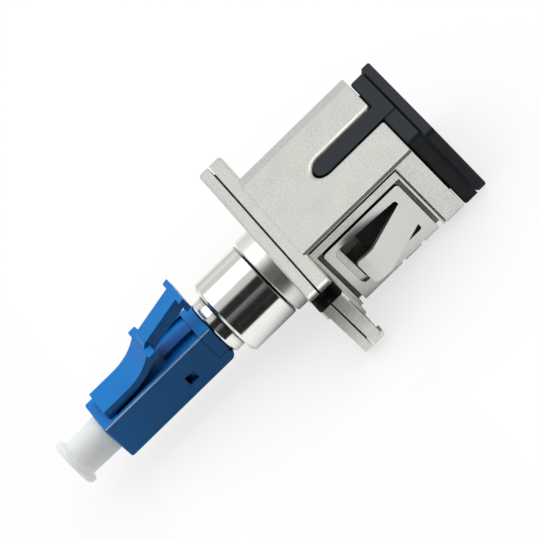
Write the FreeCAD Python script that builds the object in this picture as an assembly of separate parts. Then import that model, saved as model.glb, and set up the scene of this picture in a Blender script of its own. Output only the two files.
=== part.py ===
import FreeCAD, Part
import os

Vector = FreeCAD.Vector

# Hybrid fibre adapter: a small-form plug on one end, a square jack on the other.
# Millimetres. X runs across the flange, Y along the optical axis towards the jack's mouth,
# Z up towards the keyway and the latch. Y = 0 is the face that seats on a panel.

# Jack body
body_width = 13.15
body_height = 8.98
body_length = 12.15
body_corner_radius = 0.9
mouth_edge_radius = 0.12
far_bevel_width = 1.3
near_bevel_width = 0.2
bevel_drop = 0.22
port_width = 9.05
port_height = 7.45
port_corner_radius = 0.35
mouth_chamfer = 0.25
keyway_width = 2.4
keyway_length = 7.3
keyway_mouth_radius = 0.45

# Flange halves
flange_width = 22.1
flange_top_z = 4.32
flange_bottom_z = -4.49
flange_corner_radius = 0.6
flange_edge_radius = 0.3
seam_width = 0.18
seam_depth = 0.6
front_plate_thickness = 1.3
rear_plate_thickness = 1.25
recess_depth = 0.25
recess_inner_x = 7.2
recess_top_z = 1.26
recess_foot = 0.8
recess_foot_length = 0.9
notch_width = 1.5
notch_centre_x = 9.9
notch_centre_z = 3.19
rivet_radius = 0.8
rivet_head_radius = 1.25
rivet_head_depth = 0.4
rivet_x = 8.6
rivet_z = -1.0

# Panel clip and its pockets
sheet = 0.3
ledge_depth = 0.3
ledge_top_z = 4.2
ledge_length = 10.15
ledge_groove = 0.45
ledge_end_groove = 0.2
ledge_groove_depth = 0.35
clip_seat_depth = 0.725
clip_top_z = 2.5
clip_bottom_z = -4.0
clip_start_y = 0.7
clip_end_y = 9.32
clip_gap = 0.42
clip_trench_depth = 0.7
clip_corner_radius = 0.35
window_start_y = 1.48
window_root_y = 8.25
window_rise = 0.5
window_corner_radius = 0.5
tongue_top_z = 0.87
tongue_bottom_z = -2.25
tongue_slot = 0.5
lower_slot = 0.65
tongue_free_y = 2.35
tongue_peak_y = 4.05
tongue_flare = 1.9
tongue_end_flare = 1.7
tongue_corner_radius = 0.45
relief_setback = 0.6
strap_centre_y = 6.35
strap_width = 1.8
strap_bend_radius = 0.2

# Turned collar, barrel and neck
collar_radius = 3.95
collar_length = 1.55
barrel_radius = 3.85
barrel_length = 5.07
barrel_spigot_radius = 2.7
barrel_edge = 0.12
barrel_end_edge = 0.25
barrel_gap = 0.16
neck_radius = 2.75
neck_length = 1.2
neck_edge = 0.15

# Alignment sleeve, ferrules and what holds them
sleeve_outer_radius = 1.6
sleeve_bore_radius = 1.25
sleeve_length = 11.4
sleeve_slot = 0.4
big_ferrule_radius = 1.24
tube_wall = 0.45
tube_lip = 0.3
retainer_flange_radius = 3.05
retainer_flange_thickness = 0.85
holder_thickness = 0.8
lead_radius = 0.45
lead_entry = 0.4
small_ferrule_radius = 0.625
small_ferrule_reach = 3.2
small_ferrule_seat = 0.9
small_flange_radius = 1.3
small_flange_length = 1.2
small_tail_radius = 0.8
small_tail_length = 1.8
small_tail_bore_radius = 0.6
small_tail_bore_depth = 1.1
spring_wire_radius = 0.11
spring_wire_flats = 8
spring_turns = 5

# Clasp inside the jack
clasp_base_thickness = 1.0
clasp_base_margin = 0.25
hook_inner_x = 2.75
hook_thickness = 0.7
hook_width = 2.8
hook_reach_y = 7.3
hook_barb = 0.45
hook_barb_length = 1.4

# Plug body
plug_width = 4.4
plug_top_z = 2.1
plug_bottom_z = -2.2
plug_length = 12.43
plug_edge_radius = 0.22
plug_rear_radius = 0.6
nose_bore_radius = 1.8
nose_bore_depth = 1.6
stop_wall = 0.65
stop_bore_radius = 0.95
chamber_radius = 1.42
stem_radius = 1.05
stem_sleeve_radius = 1.5
stem_bore_radius = 0.6
snap_window = 1.0
snap_window_y = -14.5
snap_window_z = -0.4
snap_barb_reach = 0.5
rail_width = 0.4
channel_depth = 0.3
rib_width = 1.4
rib_length = 3.4
rib_rise = 0.1
saddle_length = 1.2
saddle_skirt_z = -0.9
saddle_edge_radius = 0.4

# Latch arm
latch_width = 3.1
latch_front_offset = 1.05
latch_hinge_offset = 1.5
latch_knuckle_radius = 0.35
latch_flat_end_y = -19.0
latch_flat_top_z = 3.05
latch_sweep_mid_y = -17.0
latch_sweep_mid_z = 3.47
latch_rise_y = -15.2
latch_rise_z = 4.85
latch_end_y = -10.15
latch_end_top_z = 6.1
arm_thickness = 0.8
thumb_thickness = 1.25
lug_y = -15.35
lug_top_z = 4.45
lug_span = 4.3
lug_length = 0.8
lug_height = 0.65
thumb_width = 1.85
thumb_lip_width = 3.4
thumb_lip_length = 0.55
latch_edge_radius = 0.12

# White ferrule cap
white_cap_radius = 1.8
white_cap_tip_radius = 1.74
white_cap_length = 4.15
white_cap_plug = 1.2
white_cap_bore_radius = 0.8
white_cap_end_wall = 0.4
white_rim_radius = 2.25
white_rim_thickness = 0.7
white_rim_edge = 0.15

# Black jack cap
black_block_width = 11.0
black_block_top_z = 4.3
black_block_bottom_z = -5.2
black_block_depth = 1.4
black_block_radius = 0.4
black_block_edge = 0.25
black_lip_width = 12.35
black_lip_top_z = 4.2
black_lip_bottom_z = -4.6
black_lip_depth = 1.08
black_lip_radius = 0.5
black_lip_edge = 0.2
black_lip_back = 0.25
black_insert_length = 8.4
black_insert_wall = 0.6
black_key_width = 2.1
black_key_top_z = 4.38

# Clearances
seat_gap = 0.05
slide_gap = 0.1
push_gap = 0.05
press_gap = 0.01
sleeve_gap = 0.02
hinge_gap = 0.03
seam_gap = 0.03
overcut = 2.0

# Places along the optical axis, from the panel face back to the plug's tip
seam_y = -front_plate_thickness
front_floor_y = -recess_depth
back_y = seam_y - rear_plate_thickness
back_floor_y = back_y + recess_depth
collar_y = back_y - collar_length
barrel_front_y = collar_y - barrel_gap
barrel_y = collar_y - barrel_length
neck_y = barrel_y - neck_length
plug_rear_y = neck_y - seat_gap
plug_front_y = plug_rear_y - plug_length
saddle_y = plug_rear_y - saddle_length
sleeve_low_y = seam_y - sleeve_length / 2
sleeve_high_y = seam_y + sleeve_length / 2
tube_end_y = sleeve_low_y - slide_gap
holder_front_y = tube_end_y - seat_gap
holder_rear_y = holder_front_y - holder_thickness
clasp_tube_end_y = sleeve_high_y + seat_gap + tube_lip
spigot_front_y = seam_y - retainer_flange_thickness - seat_gap
keyway_end_y = body_length - keyway_length + keyway_width / 2
stem_end_y = snap_window_y - snap_window / 2 - slide_gap
stop_front_y = plug_front_y + nose_bore_depth
stop_rear_y = stop_front_y + stop_wall
small_flange_front_y = stop_rear_y + seat_gap
small_flange_rear_y = small_flange_front_y + small_flange_length
small_tail_y = small_flange_rear_y + small_tail_length
small_tip_y = plug_front_y - small_ferrule_reach
hinge_y = plug_front_y + latch_hinge_offset
latch_front_y = plug_front_y + latch_front_offset
cap_seat_y = body_length + slide_gap
cap_lip_y = cap_seat_y + black_block_depth
cap_end_y = cap_lip_y + black_lip_depth

# Radii and widths that follow a mating piece
tube_bore_radius = sleeve_outer_radius + sleeve_gap
tube_outer_radius = tube_bore_radius + tube_wall
barrel_bore_radius = tube_outer_radius + sleeve_gap
spigot_radius = barrel_bore_radius - press_gap
collar_bore_radius = barrel_spigot_radius + press_gap
clip_floor_x = body_width / 2 - clip_seat_depth
clip_face_x = clip_floor_x + sheet
strap_floor_z = -body_height / 2 + sheet
insert_width = port_width - 2 * slide_gap
insert_height = port_height - 2 * slide_gap
channel_floor_z = plug_top_z - channel_depth
saddle_top_z = plug_top_z + rib_rise
flange_mid_z = (flange_top_z + flange_bottom_z) / 2


def block(x_low, x_high, y_low, y_high, z_low, z_high):
    """A box between two corners."""
    return Part.makeBox(x_high - x_low, y_high - y_low, z_high - z_low, Vector(x_low, y_low, z_low))


def turned(*outline):
    """A turned solid: a closed outline of (radius, y) corners spun about the optical axis."""
    corners = [Vector(radius, y, 0) for radius, y in outline]
    face = Part.Face(Part.makePolygon(corners + corners[:1]))
    solid = face.revolve(Vector(0, 0, 0), Vector(0, 1, 0), 360)
    if solid.Volume < 0:
        solid.reverse()
    return solid


def straight_edges(shape, direction, accept):
    """The straight edges of a shape that run along a direction and that a test accepts."""
    found = []
    for edge in shape.Edges:
        if edge.Curve.TypeId != "Part::GeomLine":
            continue
        if abs(edge.tangentAt(edge.FirstParameter).dot(direction)) > 0.999 and accept(edge.CenterOfMass):
            found.append(edge)
    return found


def edges_on_plane(shape, y):
    """The edges of a shape that lie in a plane across the optical axis."""
    reach = 1e-4
    return [edge for edge in shape.Edges
            if abs(edge.BoundBox.YMin - y) < reach and abs(edge.BoundBox.YMax - y) < reach]


def rounded_plate(width, z_low, z_high, corner_radius, y_low, y_high):
    """A plate across the optical axis with rounded corners."""
    plate = block(-width / 2, width / 2, y_low, y_high, z_low, z_high)
    return plate.makeFillet(corner_radius, straight_edges(plate, Vector(0, 1, 0), lambda centre: True))


def mirrored(shape):
    """The same shape on the other side of the adapter."""
    return shape.mirror(Vector(0, 0, 0), Vector(1, 0, 0))


def turned_over(shape):
    """The same shape turned half a turn about the flange's middle."""
    copy = shape.copy()
    copy.rotate(Vector(0, 0, flange_mid_z), Vector(0, 1, 0), 180)
    return copy


def both_ways(shape):
    """A shape with its copy half a turn round the flange's middle."""
    return shape.fuse(turned_over(shape))


def extruded(points, direction):
    """A prism from a closed outline of points."""
    return Part.Face(Part.makePolygon(points + points[:1])).extrude(direction)


def flange_plate(outer_y):
    """A flange half from the seam to its outer face, with a rounded outer edge."""
    plate = rounded_plate(flange_width, flange_bottom_z, flange_top_z, flange_corner_radius,
                          min(seam_y, outer_y), max(seam_y, outer_y))
    return plate.makeFillet(flange_edge_radius, edges_on_plane(plate, outer_y))


def end_recesses(y_low, y_high):
    """Shallow recesses beside the land round each notch; the one on the clip's near side runs out below."""
    foot_z = flange_bottom_z + recess_foot
    foot_x = flange_width / 2 - recess_foot_length
    recesses = both_ways(block(recess_inner_x, flange_width, y_low, y_high, foot_z, recess_top_z))
    return recesses.fuse(block(recess_inner_x, foot_x, y_low, y_high, flange_bottom_z - overcut, foot_z))


def seam_groove():
    """The narrow groove that shows round the flange where its halves meet."""
    y_low = seam_y - seam_width
    around = block(-flange_width, flange_width, y_low, seam_y, -flange_width, flange_width)
    return around.cut(rounded_plate(flange_width - 2 * seam_depth, flange_bottom_z + seam_depth,
                                    flange_top_z - seam_depth, flange_corner_radius, y_low, seam_y))


def flange_notches():
    """Open notches, one at each end of the flange on opposite corners."""
    radius = notch_width / 2
    y_low = back_y - overcut
    length = overcut * 2 - back_y
    foot = Vector(notch_centre_x, y_low, notch_centre_z)
    round_end = Part.makeCylinder(radius, length, foot, Vector(0, 1, 0))
    mouth = block(notch_centre_x, flange_width, y_low, y_low + length,
                  notch_centre_z - radius, notch_centre_z + radius)
    return both_ways(round_end.fuse(mouth))


def rivet(clearance):
    """A flush rivet through both flange halves, with a coned head at each end."""
    shank = rivet_radius + clearance
    head = rivet_head_radius + clearance
    solid = turned((0, back_floor_y), (head, back_floor_y), (shank, back_floor_y + rivet_head_depth),
                   (shank, front_floor_y - rivet_head_depth), (head, front_floor_y), (0, front_floor_y))
    solid.translate(Vector(rivet_x, 0, rivet_z))
    return solid


def flange_rivets():
    """Both rivets, on opposite corners."""
    return Part.makeCompound([rivet(0), turned_over(rivet(0))])


def clip_core():
    """The part of the jack body that the clip's strap wraps round."""
    y_low = strap_centre_y - strap_width / 2 - clip_gap
    y_high = strap_centre_y + strap_width / 2 + clip_gap
    core = block(-clip_floor_x, clip_floor_x, y_low, y_high, strap_floor_z, clip_top_z)
    bends = straight_edges(core, Vector(0, 1, 0), lambda centre: centre.z < 0)
    return core.makeFillet(strap_bend_radius, bends)


def clip_window(x_low, x_high, start_y):
    """The opening round the tongue: narrow at the root, higher towards the free end."""
    low = tongue_bottom_z - lower_slot
    high = tongue_top_z + tongue_slot
    outline = [Vector(x_low, start_y, low), Vector(x_low, window_root_y, low),
               Vector(x_low, window_root_y, high), Vector(x_low, start_y, high + window_rise)]
    opening = extruded(outline, Vector(x_high - x_low, 0, 0))
    root = straight_edges(opening, Vector(1, 0, 0), lambda centre: centre.y > tongue_peak_y)
    opening = opening.makeFillet(tongue_slot / 2, root)
    front = straight_edges(opening, Vector(1, 0, 0), lambda centre: centre.y < tongue_peak_y)
    return opening.makeFillet(window_corner_radius, front)


def clip_pockets():
    """What is cut from the jack body for the clip: ledge, seat, opening behind the tongue, strap channel."""
    half = body_width / 2
    outside = half + overcut
    below = -body_height / 2 - overcut
    groove_x = half - ledge_depth - ledge_groove_depth
    ledge = block(half - ledge_depth, outside, 0, ledge_length, below, ledge_top_z)
    top_groove = block(groove_x, outside, 0, ledge_length, ledge_top_z - ledge_groove, ledge_top_z)
    end_groove = block(groove_x, outside, ledge_length - ledge_end_groove, ledge_length, below, ledge_top_z)
    seat_start = clip_start_y - clip_gap
    seat_end = clip_end_y + clip_gap
    seat_top = clip_top_z + clip_gap
    trench = block(clip_floor_x - clip_trench_depth, outside, seat_start, seat_end, below, seat_top)
    support = block(0, clip_floor_x, clip_start_y, clip_end_y, below, clip_top_z)
    relief = clip_window(port_width / 2 - overcut, outside, window_start_y + relief_setback)
    sides = ledge.fuse([top_groove, end_groove, trench.cut(support), relief])
    channel = block(-outside, outside, strap_centre_y - strap_width / 2 - clip_gap,
                    strap_centre_y + strap_width / 2 + clip_gap, below, clip_bottom_z)
    return sides.fuse([mirrored(sides), channel.cut(clip_core())])


def beveled_body():
    """The jack body's outer form, with its two top bevels."""
    half = body_width / 2
    top = body_height / 2
    y_low = -flange_edge_radius
    section = [Vector(-half, y_low, -top), Vector(half, y_low, -top), Vector(half, y_low, top - bevel_drop),
               Vector(half - near_bevel_width, y_low, top), Vector(-half + far_bevel_width, y_low, top),
               Vector(-half, y_low, top - bevel_drop)]
    body = extruded(section, Vector(0, body_length - y_low, 0))
    corners = straight_edges(body, Vector(0, 1, 0), lambda centre: centre.z < 0)
    body = body.makeFillet(body_corner_radius, corners)
    return body.makeFillet(mouth_edge_radius, edges_on_plane(body, body_length))


def keyway():
    """The keyway through the jack's top wall, round at its closed end."""
    radius = keyway_width / 2
    run = block(-radius, radius, keyway_end_y, body_length + overcut, 0, body_height)
    return run.fuse(Part.makeCylinder(radius, body_height, Vector(0, keyway_end_y, 0)))


def sc_housing():
    """Die-cast jack shell with the front half of the flange."""
    shell = beveled_body().fuse(flange_plate(0))
    port = rounded_plate(port_width, -port_height / 2, port_height / 2, port_corner_radius,
                         seam_y - overcut, body_length + overcut)
    clasp_seat = rounded_plate(port_width + 2 * clasp_base_margin, -port_height / 2 - clasp_base_margin,
                               port_height / 2 + clasp_base_margin, port_corner_radius + clasp_base_margin,
                               seam_y - overcut, seam_y + clasp_base_thickness)
    shell = shell.cut(port.fuse(clasp_seat))
    rim = [edge for edge in edges_on_plane(shell, body_length)
           if abs(edge.CenterOfMass.x) < body_width / 2 - mouth_chamfer * 2
           and abs(edge.CenterOfMass.z) < body_height / 2 - mouth_chamfer * 2]
    shell = shell.makeChamfer(mouth_chamfer, rim)
    shell = shell.cut(keyway())
    lips = straight_edges(shell, Vector(0, 0, 1), lambda centre: centre.y > body_length - mouth_chamfer
                          and abs(centre.x) < keyway_width and centre.z > port_height / 2)
    shell = shell.makeFillet(keyway_mouth_radius, lips)
    recesses = end_recesses(front_floor_y, overcut)
    rivet_holes = both_ways(rivet(press_gap))
    return shell.cut([clip_pockets(), flange_notches(), recesses, rivet_holes]).removeSplitter()


def rear_flange():
    """Die-cast rear half of the flange with its turned collar."""
    collar = turned((0, seam_y - seam_width), (collar_radius, seam_y - seam_width),
                    (collar_radius, collar_y + barrel_edge), (collar_radius - barrel_edge, collar_y),
                    (0, collar_y))
    solid = flange_plate(back_y).fuse(collar)
    bore = turned((0, collar_y - overcut), (collar_bore_radius, collar_y - overcut),
                  (collar_bore_radius, seam_y - retainer_flange_thickness),
                  (retainer_flange_radius + press_gap, seam_y - retainer_flange_thickness),
                  (retainer_flange_radius + press_gap, seam_y + overcut), (0, seam_y + overcut))
    recesses = end_recesses(back_y - overcut, back_floor_y)
    run_out = block(recess_inner_x, flange_width, back_y - overcut, back_floor_y,
                    flange_bottom_z - overcut, recess_top_z)
    rivet_holes = both_ways(rivet(press_gap))
    solid = solid.cut([bore, seam_groove(), flange_notches(), recesses, run_out, rivet_holes])
    return solid.removeSplitter()


def sheet_strip(points, thickness):
    """The outline of a folded strip: points along its inner face, then back along its outer face."""
    outer = []
    for index, point in enumerate(points):
        before = points[max(index - 1, 0)]
        after = points[min(index + 1, len(points) - 1)]
        along_in = (point - before) if index else (after - point)
        along_out = (after - point) if index < len(points) - 1 else (point - before)
        along_in.normalize()
        along_out.normalize()
        across = along_in + along_out
        across = Vector(-across.y, across.x, 0)
        across.normalize()
        square_in = Vector(-along_in.y, along_in.x, 0)
        outer.append(point + across * (thickness / across.dot(square_in)))
    return points + outer[::-1]


def clip_tongue():
    """The lanced tongue: it flares out from its root towards the flange and flattens at its free end."""
    bend_y = (tongue_peak_y + tongue_free_y) / 2
    run = [Vector(clip_face_x - sheet, window_root_y + sheet, tongue_bottom_z),
           Vector(clip_face_x - sheet, window_root_y, tongue_bottom_z),
           Vector(clip_face_x - sheet + tongue_flare, tongue_peak_y, tongue_bottom_z),
           Vector(clip_face_x - sheet + tongue_flare, bend_y, tongue_bottom_z),
           Vector(clip_face_x - sheet + tongue_end_flare, tongue_free_y, tongue_bottom_z)]
    tongue = extruded(sheet_strip(run, sheet), Vector(0, 0, tongue_top_z - tongue_bottom_z))
    tips = [edge for edge in tongue.Edges
            if edge.BoundBox.YMax < bend_y and edge.BoundBox.ZLength < sheet / 2
            and edge.Length < sheet * 1.5]
    return tongue.makeFillet(tongue_corner_radius, tips)


def clip_arm():
    """One arm of the clip: a plate with its window and tongue."""
    arm = block(clip_floor_x, clip_face_x, clip_start_y, clip_end_y, clip_bottom_z, clip_top_z)
    arm = arm.makeFillet(clip_corner_radius, straight_edges(arm, Vector(1, 0, 0), lambda centre: True))
    window = clip_window(clip_floor_x - sheet, clip_face_x + sheet, window_start_y)
    return arm.cut(window).fuse(clip_tongue())


def clip_strap():
    """The strap under the jack body that joins the clip's arms."""
    half = clip_face_x
    y_low = strap_centre_y - strap_width / 2
    y_high = strap_centre_y + strap_width / 2
    wrap = block(-half, half, y_low, y_high, strap_floor_z - sheet, clip_bottom_z + sheet)
    bends = straight_edges(wrap, Vector(0, 1, 0), lambda centre: centre.z < clip_bottom_z)
    return wrap.makeFillet(strap_bend_radius + sheet, bends).cut(clip_core())


def panel_clip():
    """Folded stainless clip: two arms joined by a strap."""
    arm = clip_arm()
    return arm.fuse([mirrored(arm), clip_strap()]).removeSplitter()


def barrel():
    """Turned sleeve between the flange and the neck, with the spigot that screws into the collar."""
    return turned((barrel_bore_radius, spigot_front_y), (barrel_spigot_radius, spigot_front_y),
                  (barrel_spigot_radius, barrel_front_y), (barrel_radius - barrel_edge, barrel_front_y),
                  (barrel_radius, barrel_front_y - barrel_edge), (barrel_radius, barrel_y + barrel_end_edge),
                  (barrel_radius - barrel_end_edge, barrel_y), (barrel_bore_radius, barrel_y))


def lc_backbone():
    """Turned stem that carries the plug: spigot in the barrel, open neck and hollow stem."""
    return turned((stem_bore_radius, holder_rear_y - seat_gap), (spigot_radius, holder_rear_y - seat_gap),
                  (spigot_radius, barrel_y), (neck_radius - neck_edge, barrel_y),
                  (neck_radius, barrel_y - neck_edge), (neck_radius, neck_y + neck_edge),
                  (neck_radius - neck_edge, neck_y), (stem_radius, neck_y), (stem_radius, stem_end_y),
                  (stem_bore_radius, stem_end_y))


def sc_insert():
    """Moulded clasp: base, tube for the alignment sleeve and two snap hooks."""
    base_width = port_width + 2 * clasp_base_margin - 2 * seat_gap
    base_top = port_height / 2 + clasp_base_margin - seat_gap
    base = rounded_plate(base_width, -base_top, base_top, port_corner_radius + clasp_base_margin,
                         seam_y, seam_y + clasp_base_thickness - seat_gap)
    tube = turned((0, seam_y), (tube_outer_radius, seam_y), (tube_outer_radius, clasp_tube_end_y),
                  (0, clasp_tube_end_y))
    lip_radius = sleeve_bore_radius + seat_gap
    bore = turned((0, seam_y - overcut), (tube_bore_radius, seam_y - overcut),
                  (tube_bore_radius, sleeve_high_y + seat_gap), (lip_radius, sleeve_high_y + seat_gap),
                  (lip_radius, clasp_tube_end_y + overcut), (0, clasp_tube_end_y + overcut))
    outer_x = hook_inner_x + hook_thickness
    side_z = -hook_width / 2
    barb_y = hook_reach_y - hook_barb_length
    hook = extruded([Vector(hook_inner_x, seam_y, side_z), Vector(outer_x, seam_y, side_z),
                     Vector(outer_x, hook_reach_y, side_z), Vector(hook_inner_x, hook_reach_y, side_z),
                     Vector(hook_inner_x - hook_barb, barb_y + hook_barb_length / 2, side_z),
                     Vector(hook_inner_x - hook_barb, barb_y + hook_barb_length / 4, side_z),
                     Vector(hook_inner_x, barb_y, side_z)], Vector(0, 0, hook_width))
    return base.fuse([tube, hook, mirrored(hook)]).cut(bore).removeSplitter()


def sleeve_retainer():
    """Moulded rear half that keeps the sleeve in the clasp."""
    return turned((tube_bore_radius, seam_y), (retainer_flange_radius, seam_y),
                  (retainer_flange_radius, seam_y - retainer_flange_thickness),
                  (tube_outer_radius, seam_y - retainer_flange_thickness), (tube_outer_radius, tube_end_y),
                  (tube_bore_radius, tube_end_y))


def alignment_sleeve():
    """Split ceramic sleeve that lines up the two large ferrules."""
    tube = turned((sleeve_bore_radius, sleeve_low_y), (sleeve_outer_radius, sleeve_low_y),
                  (sleeve_outer_radius, sleeve_high_y), (sleeve_bore_radius, sleeve_high_y))
    slot = block(-sleeve_slot / 2, sleeve_slot / 2, sleeve_low_y - overcut, sleeve_high_y + overcut,
                 -sleeve_outer_radius - overcut, 0)
    return tube.cut(slot)


def sc_ferrule():
    """Large ceramic ferrule stub, polished at the seam of the flange."""
    edge = big_ferrule_radius / 8
    return turned((0, holder_rear_y), (big_ferrule_radius, holder_rear_y),
                  (big_ferrule_radius, seam_y - edge), (big_ferrule_radius - edge, seam_y), (0, seam_y))


def ferrule_holder():
    """Turned ring that carries the large ferrule in the barrel."""
    return turned((big_ferrule_radius + press_gap, holder_rear_y), (spigot_radius, holder_rear_y),
                  (spigot_radius, holder_front_y), (big_ferrule_radius + press_gap, holder_front_y))


def fibre_lead():
    """Buffered fibre from the large ferrule to the tail of the small one."""
    end_y = small_tail_y - lead_entry
    return turned((0, end_y), (lead_radius, end_y), (lead_radius, holder_rear_y), (0, holder_rear_y))


def lc_ferrule():
    """Small ceramic ferrule with its bevelled tip."""
    edge = small_ferrule_radius / 4
    rear_y = small_flange_front_y + small_ferrule_seat
    return turned((0, small_tip_y), (small_ferrule_radius - edge, small_tip_y),
                  (small_ferrule_radius, small_tip_y + edge), (small_ferrule_radius, rear_y), (0, rear_y))


def lc_ferrule_flange():
    """Turned flange and tail that carry the small ferrule."""
    solid = turned((0, small_flange_front_y), (small_flange_radius, small_flange_front_y),
                   (small_flange_radius, small_flange_rear_y), (small_tail_radius, small_flange_rear_y),
                   (small_tail_radius, small_tail_y), (0, small_tail_y))
    seat_radius = small_ferrule_radius + press_gap
    seat_y = small_flange_front_y + small_ferrule_seat
    seat = turned((0, small_flange_front_y - overcut), (seat_radius, small_flange_front_y - overcut),
                  (seat_radius, seat_y), (0, seat_y))
    bore_y = small_tail_y - small_tail_bore_depth
    bore = turned((0, bore_y), (small_tail_bore_radius, bore_y),
                  (small_tail_bore_radius, small_tail_y + overcut), (0, small_tail_y + overcut))
    return solid.cut([seat, bore])


def lc_spring():
    """Compression spring between the small ferrule's flange and the stem."""
    low_y = small_flange_rear_y + seat_gap + spring_wire_radius
    high_y = stem_end_y - seat_gap - spring_wire_radius
    coil_radius = (small_tail_radius + chamber_radius) / 2
    length = high_y - low_y
    path = Part.makeHelix(length / spring_turns, length, coil_radius)
    spot = Vector(spring_wire_radius, 0, 0)
    turn = FreeCAD.Rotation(Vector(0, 1, 0), 360 / spring_wire_flats)
    corners = []
    for flat in range(spring_wire_flats):
        corners.append(spot + Vector(coil_radius, 0, 0))
        spot = turn.multVec(spot)
    wire = Part.makePolygon(corners + corners[:1])
    spring = Part.Wire(path.Edges).makePipeShell([wire], True, True)
    spring.rotate(Vector(0, 0, 0), Vector(1, 0, 0), -90)
    spring.translate(Vector(0, low_y, 0))
    return spring


def plug_bores():
    """The plug's stepped bore: nose, stop wall, spring chamber and stem."""
    stem_seat_radius = stem_sleeve_radius + seat_gap
    stem_seat_y = stem_end_y - seat_gap
    return turned((0, plug_front_y - overcut), (nose_bore_radius, plug_front_y - overcut),
                  (nose_bore_radius, stop_front_y), (stop_bore_radius, stop_front_y),
                  (stop_bore_radius, stop_rear_y), (chamber_radius, stop_rear_y),
                  (chamber_radius, stem_seat_y), (stem_seat_radius, stem_seat_y),
                  (stem_seat_radius, plug_rear_y + overcut), (0, plug_rear_y + overcut))


def saddle_zone(grow):
    """The rear top corner of the plug that the separate collar fills."""
    half = plug_width / 2
    return block(-half - grow, half + grow, saddle_y - grow, plug_rear_y + grow, saddle_skirt_z - grow,
                 saddle_top_z + grow)


def lc_housing():
    """Moulded plug body with a channel under the latch arm."""
    half = plug_width / 2
    body = block(-half, half, plug_front_y, plug_rear_y, plug_bottom_z, plug_top_z)
    body = body.makeFillet(plug_edge_radius, straight_edges(body, Vector(0, 1, 0), lambda centre: True))
    heel = straight_edges(body, Vector(1, 0, 0), lambda centre: centre.y > saddle_y and centre.z < 0)
    body = body.makeFillet(plug_rear_radius, heel)
    body = body.makeFillet(plug_edge_radius, edges_on_plane(body, plug_front_y))
    inner = half - rail_width
    channel = block(-inner, inner, hinge_y, plug_rear_y + overcut, channel_floor_z, plug_top_z + overcut)
    ends = straight_edges(channel, Vector(0, 0, 1), lambda centre: centre.y < saddle_y)
    channel = channel.makeFillet(rail_width, ends)
    knuckle_end = Vector(-latch_width / 2 - slide_gap, hinge_y, plug_top_z)
    knuckle_seat = Part.makeCylinder(latch_knuckle_radius + hinge_gap, latch_width + 2 * slide_gap,
                                     knuckle_end, Vector(1, 0, 0))
    rib = block(-rib_width / 2, rib_width / 2, saddle_y - rib_length, saddle_y - seam_gap, channel_floor_z,
                saddle_top_z)
    low = snap_window_z - snap_window / 2
    window = block(-plug_width, plug_width, snap_window_y - snap_window / 2, snap_window_y + snap_window / 2,
                   low, low + snap_window)
    body = body.cut([channel, knuckle_seat]).fuse(rib)
    return body.cut([plug_bores(), saddle_zone(seam_gap), window]).removeSplitter()


def snap_barb():
    """One of the barbs that snap into the plug's side windows."""
    low_y = snap_window_y - snap_window / 2 + seat_gap
    high_y = snap_window_y + snap_window / 2 - seat_gap
    low_z = snap_window_z - snap_window / 2 + seat_gap
    outline = [Vector(stem_radius, low_y, low_z), Vector(stem_sleeve_radius, low_y, low_z),
               Vector(stem_sleeve_radius + snap_barb_reach, high_y, low_z),
               Vector(stem_radius, high_y, low_z)]
    return extruded(outline, Vector(0, 0, snap_window - 2 * seat_gap))


def lc_rear_collar():
    """Moulded saddle at the top of the plug's rear end, with a barbed sleeve round the stem."""
    saddle = saddle_zone(0)
    top = straight_edges(saddle, Vector(0, 1, 0), lambda centre: centre.z > 0)
    saddle = saddle.makeFillet(saddle_edge_radius, top)
    rear = [edge for edge in edges_on_plane(saddle, plug_rear_y)
            if edge.CenterOfMass.z > saddle_skirt_z + seam_gap]
    saddle = saddle.makeFillet(saddle_edge_radius / 2, rear)
    sleeve = turned((0, stem_end_y), (stem_sleeve_radius, stem_end_y), (stem_sleeve_radius, plug_rear_y),
                    (0, plug_rear_y))
    barb = snap_barb()
    bore_radius = stem_radius + press_gap
    bore = turned((0, stem_end_y - overcut), (bore_radius, stem_end_y - overcut),
                  (bore_radius, plug_rear_y + overcut), (0, plug_rear_y + overcut))
    return saddle.fuse([sleeve, barb, mirrored(barb)]).cut(bore).removeSplitter()


def latch_profile():
    """The latch arm's side view: flat root, upward sweep to the lugs, rising thumb piece."""
    under_z = plug_top_z + seat_gap
    end_under_z = latch_end_top_z - thumb_thickness
    front_low = Vector(0, latch_front_y, under_z)
    front_top = Vector(0, latch_front_y, latch_flat_top_z)
    sweep_start = Vector(0, latch_flat_end_y, latch_flat_top_z)
    sweep_mid = Vector(0, latch_sweep_mid_y, latch_sweep_mid_z)
    rise_top = Vector(0, latch_rise_y, latch_rise_z)
    end_top = Vector(0, latch_end_y, latch_end_top_z)
    end_low = Vector(0, latch_end_y, end_under_z)
    rise_low = Vector(0, latch_rise_y, latch_rise_z - thumb_thickness)
    under_mid = Vector(0, latch_sweep_mid_y, latch_sweep_mid_z - arm_thickness)
    under_start = Vector(0, latch_flat_end_y, latch_flat_top_z - arm_thickness)
    edges = [Part.LineSegment(front_low, front_top), Part.LineSegment(front_top, sweep_start),
             Part.Arc(sweep_start, sweep_mid, rise_top), Part.LineSegment(rise_top, end_top),
             Part.LineSegment(end_top, end_low), Part.LineSegment(end_low, rise_low),
             Part.Arc(rise_low, under_mid, under_start), Part.LineSegment(under_start, front_low)]
    return Part.Face(Part.Wire([edge.toShape() for edge in edges]))


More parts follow.
